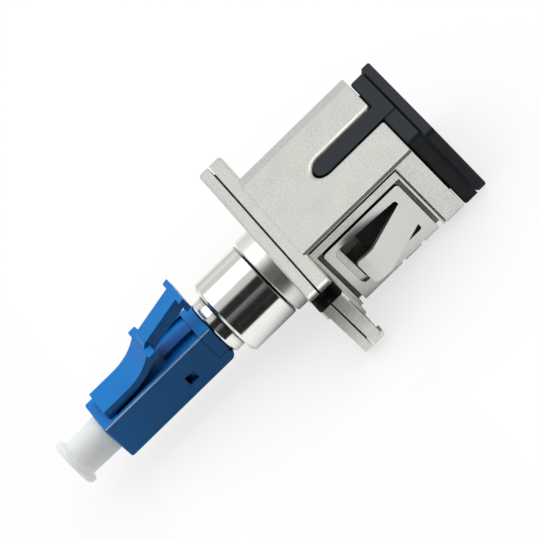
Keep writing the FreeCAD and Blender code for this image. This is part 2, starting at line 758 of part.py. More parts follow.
def latch_plan():
    """The latch arm's view from above: wide arm, narrow thumb piece, wide end lip."""
    arm = latch_width / 2
    thumb = thumb_width / 2
    lip = thumb_lip_width / 2
    lug_end_y = lug_y + lug_length / 2
    lip_y = latch_end_y - thumb_lip_length
    half = [(arm, latch_front_y), (arm, lug_end_y), (thumb, lug_end_y), (thumb, lip_y), (lip, lip_y),
            (lip, latch_end_y)]
    right = [Vector(x, y, plug_top_z) for x, y in half]
    left = [Vector(-x, y, plug_top_z) for x, y in reversed(half)]
    return extruded(right + left, Vector(0, 0, latch_end_top_z))


def lc_latch():
    """Moulded latch arm with its side lugs, thumb piece and the round root it bends about."""
    span = plug_width * 2
    side = latch_profile().extrude(Vector(span, 0, 0))
    side.translate(Vector(-span / 2, 0, 0))
    shoulder = block(thumb_width / 2, span, latch_front_y, lug_y + lug_length, lug_top_z, latch_end_top_z)
    arm = side.common(latch_plan()).cut([shoulder, mirrored(shoulder)])
    lugs = block(-lug_span / 2, lug_span / 2, lug_y - lug_length / 2, lug_y + lug_length / 2,
                 lug_top_z - lug_height, lug_top_z)
    lugs = lugs.makeFillet(latch_edge_radius, straight_edges(lugs, Vector(0, 0, 1), lambda centre: True))
    knuckle_end = Vector(-latch_width / 2, hinge_y, plug_top_z)
    knuckle = Part.makeCylinder(latch_knuckle_radius, latch_width, knuckle_end, Vector(1, 0, 0))
    return arm.fuse([lugs, knuckle]).removeSplitter()


def lc_dust_cap():
    """White cap pushed over the small ferrule into the plug's nose."""
    inner_y = plug_front_y + white_cap_plug
    end_y = plug_front_y - white_cap_length
    rim_y = end_y + white_rim_thickness
    plug_radius = nose_bore_radius - push_gap
    shoulder_y = plug_front_y - push_gap
    return turned((white_cap_bore_radius, inner_y), (plug_radius, inner_y), (plug_radius, shoulder_y),
                  (white_cap_radius, shoulder_y), (white_cap_tip_radius, rim_y),
                  (white_rim_radius - white_rim_edge, rim_y), (white_rim_radius, rim_y - white_rim_edge),
                  (white_rim_radius, end_y + white_rim_edge), (white_rim_radius - white_rim_edge, end_y),
                  (0, end_y), (0, end_y + white_cap_end_wall),
                  (white_cap_bore_radius, end_y + white_cap_end_wall))


def sc_dust_cap():
    """Black cap: grip block with its lip, hollow insert in the port and key in the keyway."""
    grip = rounded_plate(black_block_width, black_block_bottom_z, black_block_top_z, black_block_radius,
                         cap_seat_y, cap_lip_y)
    grip = grip.makeFillet(black_block_edge, edges_on_plane(grip, cap_seat_y))
    lip = rounded_plate(black_lip_width, black_lip_bottom_z, black_lip_top_z, black_lip_radius,
                        cap_lip_y, cap_end_y)
    lip = lip.makeFillet(black_lip_edge, edges_on_plane(lip, cap_end_y))
    lip = lip.makeChamfer(black_lip_back, edges_on_plane(lip, cap_lip_y))
    start_y = body_length - black_insert_length
    insert = rounded_plate(insert_width, -insert_height / 2, insert_height / 2, port_corner_radius,
                           start_y, cap_seat_y)
    wall = black_insert_wall
    hollow = rounded_plate(insert_width - 2 * wall, -insert_height / 2 + wall, insert_height / 2 - wall,
                           port_corner_radius, start_y - overcut, cap_seat_y)
    key_half = black_key_width / 2
    key_low_z = insert_height / 2 - wall
    key = block(-key_half, key_half, keyway_end_y, cap_lip_y, key_low_z, black_key_top_z)
    key_end = Part.makeCylinder(key_half, black_key_top_z - key_low_z, Vector(0, keyway_end_y, key_low_z))
    return grip.fuse([lip, insert, key, key_end]).cut(hollow).removeSplitter()


PIECES = [sc_housing, rear_flange, flange_rivets, panel_clip, barrel, lc_backbone, sc_insert,
          sleeve_retainer, alignment_sleeve, sc_ferrule, ferrule_holder, fibre_lead, lc_ferrule,
          lc_ferrule_flange, lc_spring, lc_housing, lc_rear_collar, lc_latch, lc_dust_cap, sc_dust_cap]

os.makedirs("parts", exist_ok=True)
for piece in PIECES:
    shape = piece()
    shape.exportStep("parts/" + piece.__name__ + ".step")
    print(piece.__name__, len(shape.Solids), shape.isValid(), round(shape.Volume, 3))
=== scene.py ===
import logging
import math
from abc import ABC, abstractmethod
from dataclasses import dataclass, field
from enum import Enum

import bmesh
import bpy
from mathutils import Matrix, Vector


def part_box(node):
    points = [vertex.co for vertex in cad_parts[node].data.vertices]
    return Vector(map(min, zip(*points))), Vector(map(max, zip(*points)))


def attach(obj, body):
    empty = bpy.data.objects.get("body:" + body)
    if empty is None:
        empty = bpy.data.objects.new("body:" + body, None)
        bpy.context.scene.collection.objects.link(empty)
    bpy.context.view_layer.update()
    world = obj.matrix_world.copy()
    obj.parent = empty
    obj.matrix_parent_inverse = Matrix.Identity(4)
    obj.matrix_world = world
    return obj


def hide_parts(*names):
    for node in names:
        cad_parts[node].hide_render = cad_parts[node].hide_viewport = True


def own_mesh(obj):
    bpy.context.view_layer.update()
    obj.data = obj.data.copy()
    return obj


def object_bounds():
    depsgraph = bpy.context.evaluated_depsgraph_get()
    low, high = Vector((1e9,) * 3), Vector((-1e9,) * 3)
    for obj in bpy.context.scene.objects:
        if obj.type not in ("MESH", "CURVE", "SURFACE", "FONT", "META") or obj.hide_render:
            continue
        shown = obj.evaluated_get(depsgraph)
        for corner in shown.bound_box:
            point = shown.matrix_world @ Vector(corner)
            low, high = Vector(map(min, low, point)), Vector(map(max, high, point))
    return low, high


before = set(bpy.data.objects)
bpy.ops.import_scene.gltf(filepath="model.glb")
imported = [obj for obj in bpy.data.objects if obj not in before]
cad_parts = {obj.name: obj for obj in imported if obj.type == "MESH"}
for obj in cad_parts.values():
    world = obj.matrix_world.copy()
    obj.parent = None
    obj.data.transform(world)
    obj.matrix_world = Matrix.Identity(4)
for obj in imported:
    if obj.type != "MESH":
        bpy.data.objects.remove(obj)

# Looks of a hybrid fibre adapter: a latched plug with a small ferrule, a polished stem,
# a flanged square jack with a panel clip, and a pull-off cap on each end.

CAD_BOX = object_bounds()
LOG = logging.getLogger("hybrid_fibre_adapter")
MM = 0.001
# Blender's wave texture runs through this many radians in one unit of scaled length.
WAVE_RATE = 20
# The span that a noise texture mostly keeps within.
NOISE_SPAN = (0.3, 0.7)
SKY_RAYS = 8
EDGE_RAYS = 6
Colour = tuple[float, float, float, float]
Span = tuple[float, float]
Tree = bpy.types.NodeTree
Socket = bpy.types.NodeSocket


class Body(Enum):
    """The moving bodies that the built pieces ride on."""

    ADAPTER = "adapter"
    FLOATING_FERRULE = "floating_ferrule"


class Facing(Enum):
    """Which way along the optical axis a polished ferrule face looks."""

    JACK = 1
    PLUG = -1


def hex_to_linear(code: str) -> Colour:
    """Turn an sRGB hex colour into linear light.

    Args:
        code: six hex digits with a leading hash.

    Returns:
        Linear red, green and blue, with an alpha of one.
    """
    parts = [int(code[index:index + 2], 16) / 255 for index in (1, 3, 5)]
    red, green, blue = (part / 12.92 if part <= 0.04045 else ((part + 0.055) / 1.055) ** 2.4
                        for part in parts)
    return red, green, blue, 1.0


def per_metre(size_mm: float) -> float:
    """Give the texture scale at which one feature is as wide as a real size in millimetres."""
    return 1 / (size_mm * MM)


def add_node(tree: Tree, kind: str, settings: dict | None = None) -> bpy.types.Node:
    """Add one shader node.

    Args:
        tree: the node tree that gets the node.
        kind: the node's type, without the prefix that all shader nodes share.
        settings: properties by name, and what each input gets, by its name or index: a value or a socket.

    Returns:
        The new node.
    """
    node = tree.nodes.new("ShaderNode" + kind)
    for key, value in (settings or {}).items():
        if isinstance(value, Socket):
            tree.links.new(value, node.inputs[key])
        elif isinstance(key, str) and hasattr(node, key):
            setattr(node, key, value)
        else:
            node.inputs[key].default_value = value
    return node


def calc(tree: Tree, operation: str, *terms: Socket | float) -> Socket:
    """Work out one sum on sockets and numbers."""
    return add_node(tree, "Math", {"operation": operation, **dict(enumerate(terms))}).outputs[0]


def ramp(tree: Tree, value: Socket, span: Span, levels: Span = (0.0, 1.0), curve: str = "LINEAR") -> Socket:
    """Carry a value that runs over a span to one that runs between two levels.

    Args:
        tree: the node tree.
        value: what to carry over.
        span: where the ramp starts and ends.
        levels: what it gives at its start and its end.
        curve: how it runs between them.

    Returns:
        The new value.
    """
    settings = {"interpolation_type": curve, "From Min": span[0], "From Max": span[1],
                "To Min": levels[0], "To Max": levels[1], "Value": value}
    return add_node(tree, "MapRange", settings).outputs[0]


def tint(tree: Tree, share: Socket, first: Socket | str, second: Socket | str) -> Socket:
    """Go from one colour to another.

    Args:
        tree: the node tree.
        share: how much of the second colour there is.
        first: a colour socket or a hex colour.
        second: a colour socket or a hex colour.

    Returns:
        The mixed colour.
    """
    pair = [hex_to_linear(tone) if isinstance(tone, str) else tone for tone in (first, second)]
    return add_node(tree, "Mix", {"data_type": "RGBA", 0: share, 6: pair[0], 7: pair[1]}).outputs[2]


def between(tree: Tree, share: Socket, first: Socket | float, second: Socket | float) -> Socket:
    """Go from one number to another by a share."""
    return add_node(tree, "Mix", {0: share, 2: first, 3: second}).outputs[0]


def noise(tree: Tree, place: Socket, size_mm: float, detail: float, more: dict | None = None) -> Socket:
    """Add noise whose lumps have a real size.

    Args:
        tree: the node tree.
        place: where the surface is.
        size_mm: how wide a lump is.
        detail: how many finer layers it has.
        more: other settings of the texture.

    Returns:
        The noise, from zero to one.
    """
    settings = {"Scale": per_metre(size_mm), "Detail": detail, "Vector": place, **(more or {})}
    return add_node(tree, "TexNoise", settings).outputs[0]


def open_sky(tree: Tree, reach_mm: float) -> Socket:
    """Tell how open the surface is to its surroundings within a reach."""
    return add_node(tree, "AmbientOcclusion", {"samples": SKY_RAYS, "Distance": reach_mm * MM}).outputs["AO"]


def soft_normal(tree: Tree, radius_mm: float) -> Socket:
    """Round the edges by a small radius, to the light only."""
    return add_node(tree, "Bevel", {"samples": EDGE_RAYS, "Radius": radius_mm * MM}).outputs[0]


def crest(tree: Tree, soft: Socket, span: Span, most: float = 1.0) -> Socket:
    """Find the edges, where the softened normal turns away from the true one.

    Args:
        tree: the node tree.
        soft: the softened normal.
        span: how far the two agree where an edge starts, and at its middle.
        most: what the middle of an edge gives.

    Returns:
        Zero on the faces, rising over the edges.
    """
    true_normal = add_node(tree, "NewGeometry").outputs["Normal"]
    agree = add_node(tree, "VectorMath", {"operation": "DOT_PRODUCT", 0: soft, 1: true_normal})
    return ramp(tree, agree.outputs["Value"], span, (0.0, most))


def relief(tree: Tree, height: Socket, soft: Socket, depth_mm: float, strength: Socket | float) -> Socket:
    """Raise a pattern on the softened surface.

    Args:
        tree: the node tree.
        height: the pattern.
        soft: the softened normal.
        depth_mm: how deep the pattern is.
        strength: how much of it shows.

    Returns:
        The normal with the pattern in it.
    """
    return add_node(tree, "Bump", {"Strength": strength, "Distance": depth_mm * MM, "Height": height,
                                   "Normal": soft}).outputs[0]


def metal(tree: Tree, tone: Socket, rough: Socket, normal: Socket) -> bpy.types.Node:
    """Add a metal's shader."""
    return add_node(tree, "BsdfPrincipled", {"Metallic": 1.0, "Base Color": tone, "Roughness": rough,
                                             "Normal": normal})


class Finish(ABC):
    """A real material and how its surface was made."""

    name: str

    @abstractmethod
    def surface(self, tree: Tree) -> bpy.types.Node:
        """Add the finish's nodes and return the shader that they feed."""

    def material(self) -> bpy.types.Material:
        """Make the material the first time, and give the same one afterwards.

        Returns:
            The finish's material.
        """
        found = bpy.data.materials.get(self.name)
        if found:
            return found
        made = bpy.data.materials.new(self.name)
        made.use_nodes = True
        made.node_tree.nodes.clear()
        shader = self.surface(made.node_tree)
        add_node(made.node_tree, "OutputMaterial", {"Surface": shader.outputs[0]})
        return made


@dataclass(frozen=True)
class PearlNickelCasting(Finish):
    """Zinc die casting, bead blasted and nickel plated.

    The blasted skin scatters light into a pale, warm pearl with a fine sparkle, and the edges, rubbed
    in handling, are smoother than the faces and a little brighter, partly as wear and partly as a painted
    highlight. The collar behind the flange is turned after casting and mirrors the room in soft bands.
    Narrow grooves get a painted shade, nearly black, and the screw notches' walls a painted dark grey shade.
    """

    name: str = "nickel_plated_blasted_zinc_casting"
    light_hex: str = "#e3e2dc"
    shade_hex: str = "#cfcec8"
    # Rubbed edge colour: partly wear, partly a painted highlight; the turned collar takes it too.
    edge_hex: str = "#f2f1ec"
    # Painted shade in narrow grooves: darker where the surface is less open.
    groove_shade_hex: str = "#1e1e1b"
    groove_mm: float = 1.4
    groove_sky: Span = (0.5, 0.22)
    # Painted dark grey shade on the walls of the screw notches.
    notch_shade_hex: str = "#3b3b38"
    notch_centre_mm: Span = (9.9, 3.19)
    notch_reach_mm: float = 0.8
    grain_mm: float = 0.18
    grain_depth_mm: float = 0.017
    grain_strength: float = 0.5
    speck_span: Span = (0.35, 0.65)
    cloud_mm: float = 2.2
    rough: Span = (0.38, 0.48)
    edge_mm: float = 0.06
    rub_span: Span = (0.995, 0.85)
    rub_most: float = 0.7
    rub_smoothing: float = -0.12
    collar_mm: Span = (-2.6, -2.5)
    collar_rough: float = 0.36

    def notch_shade_mask(self, tree: Tree, place: Socket) -> Socket:
        """Find the walls of the two screw notches, which lie half a turn apart, for their painted shade.

        Args:
            tree: the material's node tree.
            place: where the surface is.

        Returns:
            One inside a notch and zero elsewhere.
        """
        across = add_node(tree, "SeparateXYZ", {0: place})
        out = calc(tree, "ABSOLUTE", across.outputs["X"])
        half = calc(tree, "SIGN", across.outputs["X"])
        up = calc(tree, "MULTIPLY", half, across.outputs["Z"])
        centre_out, centre_up = (part * MM for part in self.notch_centre_mm)
        short = calc(tree, "MINIMUM", out, centre_out)
        axis = add_node(tree, "CombineXYZ", {"X": centre_out, "Y": centre_up}).outputs[0]
        here = add_node(tree, "CombineXYZ", {"X": short, "Y": up}).outputs[0]
        gap = add_node(tree, "VectorMath", {"operation": "DISTANCE", 0: here, 1: axis}).outputs["Value"]
        return calc(tree, "LESS_THAN", gap, self.notch_reach_mm * MM)

    def surface(self, tree: Tree) -> bpy.types.Node:
        """Add the blasted grain, the slow clouding, the rubbed edges with their partly painted highlight,
        the painted shade in grooves and notches, and the turned collar.

        Args:
            tree: the material's node tree.

        Returns:
            The shader.
        """
        place = add_node(tree, "TexCoord").outputs["Object"]
        soft = soft_normal(tree, self.edge_mm)
        # The blasting grit leaves dimples about 0.05 mm wide, drawn over three times as coarse to show.
        grain = noise(tree, place, self.grain_mm, 3.0, {"Roughness": 0.6})
        cloud = noise(tree, place, self.cloud_mm, 2.0)
        # The edges' lighter colour is partly wear and partly a painted highlight.
        rubbed_edge_and_highlight = crest(tree, soft, self.rub_span, self.rub_most)
        skin = tint(tree, ramp(tree, grain, self.speck_span), self.shade_hex, self.light_hex)
        plated = tint(tree, rubbed_edge_and_highlight, skin, self.edge_hex)
        along = add_node(tree, "SeparateXYZ", {0: place}).outputs["Y"]
        turned_end, turned_start = (part * MM for part in self.collar_mm)
        blasted = ramp(tree, along, (turned_end, turned_start))
        open_metal = tint(tree, blasted, self.edge_hex, plated)
        # Painted shade in grooves, by how open the surface is.
        groove_shade = ramp(tree, open_sky(tree, self.groove_mm), self.groove_sky)
        groove_shaded = tint(tree, groove_shade, open_metal, self.groove_shade_hex)
        # Painted shade on the notch walls.
        tone = tint(tree, self.notch_shade_mask(tree, place), groove_shaded, self.notch_shade_hex)
        matt = ramp(tree, cloud, NOISE_SPAN, self.rough)
        cast = calc(tree, "ADD", matt, calc(tree, "MULTIPLY", rubbed_edge_and_highlight, self.rub_smoothing))
        rough = between(tree, blasted, self.collar_rough, cast)
        strength = calc(tree, "MULTIPLY", blasted, self.grain_strength)
        return metal(tree, tone, rough, relief(tree, grain, soft, self.grain_depth_mm, strength))


@dataclass(frozen=True)
class PolishedNickelTurning(Finish):
    """Brass turned on a lathe, polished and nickel plated.

    It mirrors the room in long bands along the stem, broken only by faint rings left by the tool. The
    joints between the turned pieces get a painted shade, nearly black.
    """

    name: str = "nickel_plated_polished_brass_turning"
    plate_hex: str = "#f4f4f0"
    tarnish_hex: str = "#eae9e4"
    ring_mm: float = 0.11
    ring_depth_mm: float = 0.0001
    ring_strength: float = 0.5
    # Painted shade where the turned pieces meet.
    joint_shade_hex: str = "#141412"
    joint_mm: float = 0.8
    joint_sky: Span = (0.8, 0.45)
    cloud_mm: float = 1.6
    rough: Span = (0.1, 0.15)
    edge_mm: float = 0.06

    def surface(self, tree: Tree) -> bpy.types.Node:
        """Add the tool's rings, a slight unevenness of the polish and the painted shade in the joints.

        Args:
            tree: the material's node tree.

        Returns:
            The shader.
        """
        place = add_node(tree, "TexCoord").outputs["Object"]
        soft = soft_normal(tree, self.edge_mm)
        # Tool marks are about 0.03 mm apart, drawn nearly four times as coarse so that they show.
        rings = add_node(tree, "TexWave", {"bands_direction": "Y",
                                           "Scale": math.tau / WAVE_RATE * per_metre(self.ring_mm),
                                           "Distortion": 0.3, "Detail": 2.0, "Detail Scale": 0.7,
                                           "Vector": place}).outputs["Fac"]
        cloud = noise(tree, place, self.cloud_mm, 3.0)
        plate = tint(tree, cloud, self.tarnish_hex, self.plate_hex)
        # Painted shade in the joints, by how open the surface is.
        joint_shade = ramp(tree, open_sky(tree, self.joint_mm), self.joint_sky)
        tone = tint(tree, joint_shade, plate, self.joint_shade_hex)
        rough = ramp(tree, cloud, NOISE_SPAN, self.rough)
        return metal(tree, tone, rough, relief(tree, rings, soft, self.ring_depth_mm, self.ring_strength))


@dataclass(frozen=True)
class RolledStainless(Finish):
    """Cold-rolled stainless spring sheet, blanked and folded.

    The mill leaves a satin face with a grain along the strip, and the cut edges are brighter.
    """

    name: str = "cold_rolled_stainless_sheet"
    face_hex: str = "#dededb"
    streak_hex: str = "#c8c8c4"
    edge_hex: str = "#e9e9e6"
    shade_hex: str = "#3c3c39"
    shade_mm: float = 1.2
    shade_sky: Span = (0.65, 0.2)
    streak_mm: float = 0.12
    streak_length_mm: float = 3.0
    streak_depth_mm: float = 0.004
    streak_strength: float = 0.4
    rough: Span = (0.26, 0.38)
    edge_mm: float = 0.05
    cut_span: Span = (0.99, 0.8)

    def surface(self, tree: Tree) -> bpy.types.Node:
        """Add the rolling grain along the strip, the bright cut edges and the shade under the folds.

        Args:
            tree: the material's node tree.

        Returns:
            The shader.
        """
        place = add_node(tree, "TexCoord").outputs["Object"]
        soft = soft_normal(tree, self.edge_mm)
        # Rolling lines are finer than 0.02 mm on the real sheet, drawn coarser so that they show.
        fine, long = per_metre(self.streak_mm), per_metre(self.streak_length_mm)
        along = add_node(tree, "Mapping", {"Scale": (fine, long, fine), "Vector": place}).outputs[0]
        streaks = add_node(tree, "TexNoise", {"Scale": 1.0, "Detail": 4.0, "Roughness": 0.65,
                                              "Vector": along}).outputs[0]
        sheet = tint(tree, streaks, self.streak_hex, self.face_hex)
        face = tint(tree, crest(tree, soft, self.cut_span), sheet, self.edge_hex)
        shaded = ramp(tree, open_sky(tree, self.shade_mm), self.shade_sky)
        tone = tint(tree, shaded, face, self.shade_hex)
        rough = ramp(tree, streaks, NOISE_SPAN, self.rough)
        return metal(tree, tone, rough,
                     relief(tree, streaks, soft, self.streak_depth_mm, self.streak_strength))


@dataclass(frozen=True)
class NonMetal(Finish):
    """A moulded polymer, a ground ceramic, glass or card.

    The tool's texture gives an even, fine orange peel, and the edges catch a thin line of light. Where set, a
    pale highlight line is painted along the long upper edges.
    """

    name: str
    body_hex: str
    deep_hex: str
    # Colour of the painted shade in joints and crevices.
    crevice_shade_hex: str
    rough: Span
    refraction: float
    peel_mm: float
    peel_depth_mm: float
    peel_strength: float = 0.4
    flow_mm: float = 1.8
    edge_mm: float = 0.09
    edge_rough: float = 0.16
    crest_span: Span = (0.99, 0.85)
    crevice_mm: float = 1.0
    crevice_sky: Span = (0.7, 0.15)
    gloss: float = 0.5
    scatter: float = 0.0
    scatter_mm: float = 0.4
    scatter_tint: tuple[float, float, float] = (1.0, 0.9, 0.8)
    # Colour of the painted highlight line along the long upper edges.
    rim_highlight_hex: str = "#cbdcfb"
    rim_mm: Span = (0.0, 0.0)
    rim_reach_mm: float = 0.0
    rim_core: float = 0.8
    glow: float = 0.0

    def rim_highlight(self, tree: Tree, place: Socket, pigment: Socket) -> Socket:
        """Paint a pale highlight line along the two long upper edges.

        Args:
            tree: the material's node tree.
            place: where the surface is.
            pigment: the colour of the faces.

        Returns:
            The colour with the line in it.
        """
        across = add_node(tree, "SeparateXYZ", {0: place})
        out = calc(tree, "ABSOLUTE", across.outputs["X"])
        here = add_node(tree, "CombineXYZ", {"X": out, "Z": across.outputs["Z"]}).outputs[0]
        edge_out, edge_up = (part * MM for part in self.rim_mm)
        edge = add_node(tree, "CombineXYZ", {"X": edge_out, "Z": edge_up}).outputs[0]
        gap = add_node(tree, "VectorMath", {"operation": "DISTANCE", 0: here, 1: edge}).outputs["Value"]
        reach = self.rim_reach_mm * MM
        return tint(tree, ramp(tree, gap, (reach, self.rim_core * reach)), pigment, self.rim_highlight_hex)

    def surface(self, tree: Tree) -> bpy.types.Node:
        """Add the tool's fine peel, slow flow tones, smooth edges, a painted highlight line where set, and
        painted shade in joints and crevices.

        Args:
            tree: the material's node tree.

        Returns:
            The shader.
        """
        place = add_node(tree, "TexCoord").outputs["Object"]
        soft = soft_normal(tree, self.edge_mm)
        # The tool's texture is finer than a pixel, so it is drawn as coarse as it needs to show.
        peel = noise(tree, place, self.peel_mm, 2.0)
        flow = noise(tree, place, self.flow_mm, 2.0, {"Distortion": 0.8})
        pigment = tint(tree, flow, self.deep_hex, self.body_hex)
        # Painted highlight line along the long upper edges, only where a reach is set.
        highlighted = self.rim_highlight(tree, place, pigment) if self.rim_reach_mm else pigment
        # Painted shade in joints and crevices, by how open the surface is.
        joint_shade = ramp(tree, open_sky(tree, self.crevice_mm), self.crevice_sky)
        tone = tint(tree, joint_shade, highlighted, self.crevice_shade_hex)
        face = ramp(tree, flow, NOISE_SPAN, self.rough)
        rough = between(tree, crest(tree, soft, self.crest_span), face, self.edge_rough)
        normal = relief(tree, peel, soft, self.peel_depth_mm, self.peel_strength)
        return add_node(tree, "BsdfPrincipled", {
            "Base Color": tone, "Roughness": rough, "Normal": normal, "IOR": self.refraction,
            "Specular IOR Level": self.gloss, "Subsurface Weight": self.scatter,
            "Subsurface Scale": self.scatter_mm * MM, "Subsurface Radius": self.scatter_tint,
            "Emission Color": hex_to_linear(self.body_hex), "Emission Strength": self.glow})


# Dyed polybutylene terephthalate from a lightly textured tool: a clean, saturated blue with a soft gloss.
# Its long upper edges get a painted highlight line, and its crevices painted shade.
BLUE_PBT = NonMetal("blue_pbt_moulding", "#0e89e0", "#0c7dd2", "#04182f", rough=(0.24, 0.32), refraction=1.57,
                    peel_mm=0.14, peel_depth_mm=0.006, edge_mm=0.14, crevice_mm=2.0, gloss=0.18,
                    rim_mm=(2.2, 2.1), rim_reach_mm=0.14)
# Soft black polyethylene from a spark-eroded tool: deep grey with a broad, dull sheen.
BLACK_POLYETHYLENE = NonMetal("black_polyethylene_moulding", "#252b33", "#1f242a", "#0a0a0c",
                              rough=(0.55, 0.65), refraction=1.51, peel_mm=0.12, peel_depth_mm=0.008,
                              crevice_mm=2.0, gloss=0.3)
# Undyed polyethylene: milky white. Light goes deep into it, so that its shade sides stay pale, and a
# faint glow stands in for the light that comes right through it from the far side.
WHITE_POLYETHYLENE = NonMetal("natural_polyethylene_moulding", "#e9edec", "#e2e6e5", "#d5d9d8",
                              rough=(0.4, 0.5), refraction=1.51, peel_mm=0.2, peel_depth_mm=0.004,
                              scatter=1.0, scatter_mm=4.0, glow=0.2)
# Undyed glass-filled polymer of the inner clasp: matt, cream coloured.
CREAM_POLYMER = NonMetal("cream_glass_filled_moulding", "#dcd8c8", "#cfcab8", "#5a574c", rough=(0.45, 0.55),
                         refraction=1.55, peel_mm=0.16, peel_depth_mm=0.01)
# Extruded fibre buffer: smooth, slightly waxy white.
BUFFER_COATING = NonMetal("extruded_buffer_coating", "#e9e7df", "#dedbd2", "#b5b2a8", rough=(0.4, 0.5),
                          refraction=1.5, peel_mm=0.25, peel_depth_mm=0.003)
# Zirconia, ground and diamond polished: a hard white with a sharp gloss.
POLISHED_ZIRCONIA = NonMetal("polished_zirconia_ceramic", "#f4f2ea", "#ebe8de", "#cfccc2", rough=(0.08, 0.12),
                             refraction=2.1, peel_mm=0.3, peel_depth_mm=0.001, scatter=0.3, scatter_mm=0.2)
# Silica fibre end, polished flush: a dark glassy dot.
FIBRE_GLASS = NonMetal("polished_silica_fibre_end", "#3b4046", "#33373c", "#202428", rough=(0.05, 0.08),
                       refraction=1.46, peel_mm=0.05, peel_depth_mm=0.0005)
# Flocked black card: nearly no light comes back from it.
BLACK_CARD = NonMetal("flocked_black_card", "#101010", "#0e0e0e", "#080808", rough=(0.8, 0.9),
                      refraction=1.4, peel_mm=0.5, peel_depth_mm=0.01)
# Matt white card: throws light back up at the pale cap.
WHITE_CARD = NonMetal("matt_white_card", "#f6f6f4", "#f2f2f0", "#f2f2f0", rough=(0.8, 0.9),
                      refraction=1.4, peel_mm=0.5, peel_depth_mm=0.01)


@dataclass(frozen=True)
class WhiteSweep(Finish):
    """A white paper sweep.

    It is white to the lens and in reflections. Near the part's foot both fade by how open the floor is, a
    painted contact shade that lets the lit paper, with its real shadow, show through.
    """

    name: str = "white_paper_sweep"
    paper_hex: str = "#808080"
    white_hex: str = "#ffffff"
    white_strength: float = 1.1
    shade_mm: float = 18.0
    lens_white: Span = (0.66, 0.9)
    lens_sky: Span = (0.2, 0.95)
    mirrored_white: Span = (0.0, 0.92)
    mirrored_sky: Span = (0.2, 0.55)

    def surface(self, tree: Tree) -> bpy.types.Node:
        """Add the paper and the white that the lens and the metal see.

        Args:
            tree: the material's node tree.

        Returns:
            The shader.
        """
        path = add_node(tree, "LightPath").outputs
        # Painted contact shade: the white fades where the part shuts the floor in.
        sky = open_sky(tree, self.shade_mm)
        seen = calc(tree, "MULTIPLY", path["Is Camera Ray"], ramp(tree, sky, self.lens_sky, self.lens_white))
        clear = calc(tree, "MAXIMUM", path["Is Glossy Ray"], path["Is Transmission Ray"])
        bounced = calc(tree, "MULTIPLY", clear, ramp(tree, sky, self.mirrored_sky, self.mirrored_white))
        share = calc(tree, "ADD", seen, bounced)
        paper = add_node(tree, "BsdfDiffuse", {"Color": hex_to_linear(self.paper_hex)}).outputs[0]
        white = add_node(tree, "Emission", {"Color": hex_to_linear(self.white_hex),
                                            "Strength": self.white_strength}).outputs[0]
        return add_node(tree, "MixShader", {0: share, 1: paper, 2: white})


class SubAssembly(ABC):
    """A group of pieces that are made and dressed together."""

    @abstractmethod
    def finishes(self) -> dict[str, Finish]:
        """Give the finish of each solid in the group."""

    def build(self) -> list[bpy.types.Object]:
        """Build the pieces that the solids leave out; most groups have none."""
        return []

    def make(self) -> None:
        """Dress the group's solids and report each of them, then build its other pieces."""
        for node, finish in self.finishes().items():
            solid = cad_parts[node]
            solid.data.materials.clear()
            solid.data.materials.append(finish.material())
            LOG.info("%s dressed in %s", node, finish.name)
        for piece in self.build():
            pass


@dataclass
class JackShell(SubAssembly):
    """The die-cast jack with both flange halves, its rivets, and the clasp inside."""

    casting: PearlNickelCasting = field(default_factory=PearlNickelCasting)
    rivet_steel: RolledStainless = field(default_factory=RolledStainless)

    def finishes(self) -> dict[str, Finish]:
        """Give the casting its pearl nickel, the rivets their steel and the clasp its cream polymer."""
        return {"sc_housing": self.casting, "rear_flange": self.casting, "flange_rivets": self.rivet_steel,
                "sc_insert": CREAM_POLYMER, "sleeve_retainer": CREAM_POLYMER}


@dataclass
class PanelClip(SubAssembly):
    """The folded spring clip with its two lanced tongues."""

    sheet: RolledStainless = field(default_factory=RolledStainless)

    def finishes(self) -> dict[str, Finish]:
        """Give the clip its rolled sheet."""
        return {"panel_clip": self.sheet}


@dataclass
class TurnedStem(SubAssembly):
    """The polished barrel, the stem that carries the plug, and the holder of both ferrules."""

    nickel: PolishedNickelTurning = field(default_factory=PolishedNickelTurning)
    holder_steel: RolledStainless = field(default_factory=RolledStainless)

    def finishes(self) -> dict[str, Finish]:
        """Give the turned pieces their polished plate and the holder its steel."""
        return {"barrel": self.nickel, "lc_backbone": self.nickel, "ferrule_holder": self.holder_steel}


